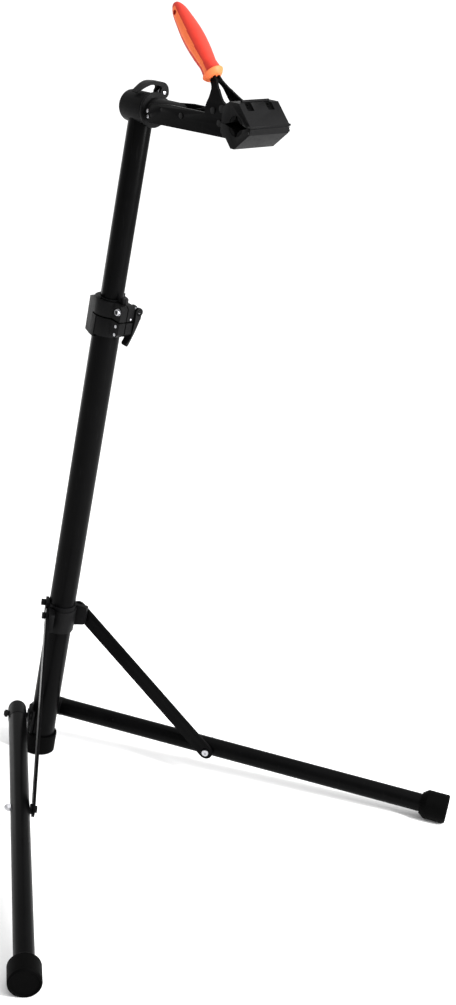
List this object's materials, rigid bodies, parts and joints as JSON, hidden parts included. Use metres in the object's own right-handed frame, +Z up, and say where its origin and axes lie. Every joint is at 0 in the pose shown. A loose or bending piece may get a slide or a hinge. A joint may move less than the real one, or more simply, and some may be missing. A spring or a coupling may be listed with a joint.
{
  "type": "bike repair stand",
  "caption": "Folding bicycle work stand with a leaning telescopic mast, braced folding legs and a rotating tube clamp with a pliers-type handle.",
  "frame": {"origin": "centre of the mast foot's level sole, on the floor", "axes": "+Z up, +X towards the open side between the legs, +Y to the left leg"},
  "size_m": [0.5758, 0.8218, 1.1707],
  "materials": {
    "black_coat": "satin powder coat",
    "black_cast": "fine textured powder coat",
    "black_plastic": "moulded, fine grain",
    "black_rubber": "matte",
    "pad_rubber": "matte, lightly worn",
    "black_oxide": "black oxide, dull",
    "bright_steel": "zinc plated, semi-bright",
    "liner_nylon": "moulded nylon",
    "grip_red": "soft-touch, satin",
    "grip_orange": "soft-touch, satin"
  },
  "bodies": {
    "mast": {"outer_tube": "black_coat", "mast_foot": "black_rubber", "leg_hub": "black_cast", "hub_screws": "black_oxide", "leg_pivot_bolts": "black_oxide", "leg_pivot_nuts": "black_oxide", "leg_pivot_washers": "liner_nylon", "height_collar": "black_cast", "collar_skewer": "bright_steel", "collar_washer": "bright_steel", "collar_rivets": "bright_steel", "collar_bush": "black_plastic"},
    "leg_right": {"leg_tube_right": "black_coat", "leg_cap_right": "black_plastic", "leg_foot_right": "black_rubber", "brace_stud_right": "bright_steel"},
    "leg_left": {"leg_tube_left": "black_coat", "leg_cap_left": "black_plastic", "leg_foot_left": "black_rubber", "brace_stud_left": "bright_steel"},
    "slider": {"slider_collar": "black_cast", "slider_liner": "black_plastic", "brace_pivot_bolts": "black_oxide"},
    "slider_knob": {"slider_knob": "black_plastic"},
    "brace_right": {"brace_right": "black_coat", "brace_bolt_right": "black_oxide"},
    "brace_left": {"brace_left": "black_coat", "brace_bolt_left": "bright_steel"},
    "collar_lever": {"collar_lever": "black_cast", "collar_lever_pin": "bright_steel"},
    "upper_mast": {"upper_tube": "black_coat", "tube_glide": "liner_nylon", "head_casting": "black_cast", "head_skewer": "bright_steel", "head_skewer_nut": "black_oxide", "head_bush": "liner_nylon", "barrel_cap": "black_plastic"},
    "head_lever": {"head_lever": "black_cast", "head_lever_pin": "bright_steel"},
    "arm": {"arm_spindle": "bright_steel", "spindle_nut": "bright_steel", "arm_root": "black_cast", "arm_screws": "bright_steel", "arm_channel": "black_coat", "arm_rivets": "black_oxide", "jaw_pin": "black_oxide", "lower_jaw": "black_cast", "lower_jaw_pad": "pad_rubber"},
    "adjuster": {"adjuster_screw": "bright_steel"},
    "upper_jaw": {"upper_jaw": "black_cast", "upper_jaw_pad": "pad_rubber", "handle_pin": "black_oxide"},
    "handle": {"handle_plate_right": "black_coat", "handle_plate_left": "black_coat", "handle_link_pin": "black_oxide", "grip": "grip_red", "grip_accent": "grip_orange"},
    "toggle": {"toggle_link": "black_oxide"}
  },
  "joints": [
    {"name": "leg_left_fold", "type": "hinge", "parent": "mast", "child": "leg_left", "pos_m": [-0.01473, 0.03494, 0.06266], "axis": [0.5494, -0.832, -0.0772], "range_deg": [0, 77.5]},
    {"name": "leg_right_fold", "type": "hinge", "parent": "mast", "child": "leg_right", "pos_m": [-0.01473, -0.03494, 0.06266], "axis": [-0.5494, -0.832, 0.0772], "range_deg": [0, 77.5]},
    {"name": "slider_slide", "type": "slide", "parent": "mast", "child": "slider", "axis": [0.1392, 0, 0.9903], "range_m": [0, 0.36522]},
    {"name": "brace_left_fold", "type": "hinge", "parent": "slider", "child": "brace_left", "pos_m": [0.04046, 0.03054, 0.25283], "axis": [-0.5494, 0.832, 0.0772], "range_deg": [0, 48.73]},
    {"name": "brace_right_fold", "type": "hinge", "parent": "slider", "child": "brace_right", "pos_m": [0.04046, -0.03054, 0.25283], "axis": [0.5494, 0.832, -0.0772], "range_deg": [0, 48.73]},
    {"name": "slider_knob_turn", "type": "hinge", "parent": "slider", "child": "slider_knob", "pos_m": [0.02349, -0.0208, 0.26683], "axis": [-0.5494, -0.832, 0.0772], "continuous": true},
    {"name": "upper_mast_slide", "type": "slide", "parent": "mast", "child": "upper_mast", "axis": [0.1392, 0, 0.9903], "range_m": [-0.18, 0.12]},
    {"name": "collar_lever_swing", "type": "hinge", "parent": "mast", "child": "collar_lever", "pos_m": [0.13937, 0.0186, 0.74738], "axis": [0.9903, 0, -0.1392], "range_deg": [0, 110]},
    {"name": "head_lever_swing", "type": "hinge", "parent": "upper_mast", "child": "head_lever", "pos_m": [0.14453, 0.03, 1.04849], "axis": [-1, 0, 0], "range_deg": [0, 95]},
    {"name": "arm_turn", "type": "hinge", "parent": "upper_mast", "child": "arm", "pos_m": [0.14453, 0, 1.02839], "axis": [1, 0, 0], "continuous": true},
    {"name": "adjuster_turn", "type": "hinge", "parent": "arm", "child": "adjuster", "pos_m": [0.20453, 0, 1.02839], "axis": [1, 0, 0], "continuous": true},
    {"name": "upper_jaw_open", "type": "hinge", "parent": "arm", "child": "upper_jaw", "pos_m": [0.32393, -0.0003, 1.03519], "axis": [0, -0.999, -0.0436], "range_deg": [0, 20]},
    {"name": "handle_swing", "type": "hinge", "parent": "upper_jaw", "child": "handle", "pos_m": [0.33153, -0.00112, 1.05417], "axis": [0, 0.999, 0.0436], "range_deg": [0, 62.23]},
    {"name": "toggle_swing", "type": "hinge", "parent": "arm", "child": "toggle", "pos_m": [0.24853, -0.00024, 1.03379], "axis": [0, -0.999, -0.0436], "range_deg": [0, 13.01]}
  ],
  "couplings": [
    {"joint": "leg_right_fold", "follows": "leg_left_fold", "ratio": 1},
    {"joint": "slider_slide", "follows": "leg_left_fold", "m_per_rad": 0.27},
    {"joint": "brace_left_fold", "follows": "leg_left_fold", "ratio": 0.6288},
    {"joint": "brace_right_fold", "follows": "leg_left_fold", "ratio": 0.6288},
    {"joint": "handle_swing", "follows": "upper_jaw_open", "ratio": 3.1114},
    {"joint": "toggle_swing", "follows": "upper_jaw_open", "ratio": 0.65043}
  ]
}
